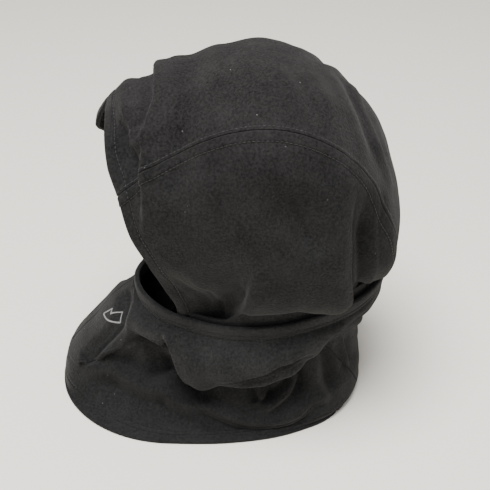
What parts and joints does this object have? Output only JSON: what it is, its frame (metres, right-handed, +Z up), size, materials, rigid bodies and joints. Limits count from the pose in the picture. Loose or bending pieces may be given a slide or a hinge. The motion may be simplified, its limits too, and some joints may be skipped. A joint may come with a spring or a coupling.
{
  "type": "balaclava",
  "caption": "Hinged fleece balaclava: a panelled hood that tips back at the nape, over a neck tube with a mask roll and a spreading bib.",
  "frame": {"origin": "under the middle of the whole, on the surface that the bib's hem stands on", "axes": "+Z up; -Y the way the wearer faces; +X the wearer's left"},
  "size_m": [0.197, 0.2863, 0.3057],
  "materials": {
    "hood_fleece": "brushed fleece, matt",
    "seam_fleece": "brushed fleece, matt",
    "hem_fleece": "brushed fleece, matt",
    "tube_fleece": "brushed fleece, matt",
    "thread": "twisted polyester thread, slight sheen",
    "label_satin": "woven satin",
    "print_ink": "flat rubbery ink"
  },
  "bodies": {
    "neck_tube": {"mask_front_seam": "seam_fleece", "mask_back_seam": "seam_fleece", "neck_seam": "seam_fleece", "bib_seam_left": "seam_fleece", "bib_seam_right": "seam_fleece", "mask_rim_hem": "hem_fleece", "bib_bottom_hem": "hem_fleece", "mask_left_panel": "tube_fleece", "mask_right_panel": "tube_fleece", "bib_front_panel": "tube_fleece", "bib_back_yoke": "tube_fleece", "nape_gusset": "tube_fleece", "mask_rim_stitching": "thread", "bib_hem_stitching": "thread", "care_label": "label_satin", "chest_print": "print_ink"},
    "hood": {"hood_crown_panel": "hood_fleece", "hood_left_panel": "hood_fleece", "hood_right_panel": "hood_fleece", "crown_seam_left": "seam_fleece", "crown_seam_right": "seam_fleece", "crown_stitching_left": "thread", "crown_stitching_right": "thread", "face_opening_hem": "hem_fleece", "face_hem_stitching": "thread", "hood_neck_band": "hem_fleece", "hood_neck_band_seam": "seam_fleece"}
  },
  "joints": [
    {"name": "hood_push_back", "type": "hinge", "parent": "neck_tube", "child": "hood", "pos_m": [0, 0.139, 0.122], "axis": [-1, 0, 0], "range_deg": [0, 70]}
  ]
}
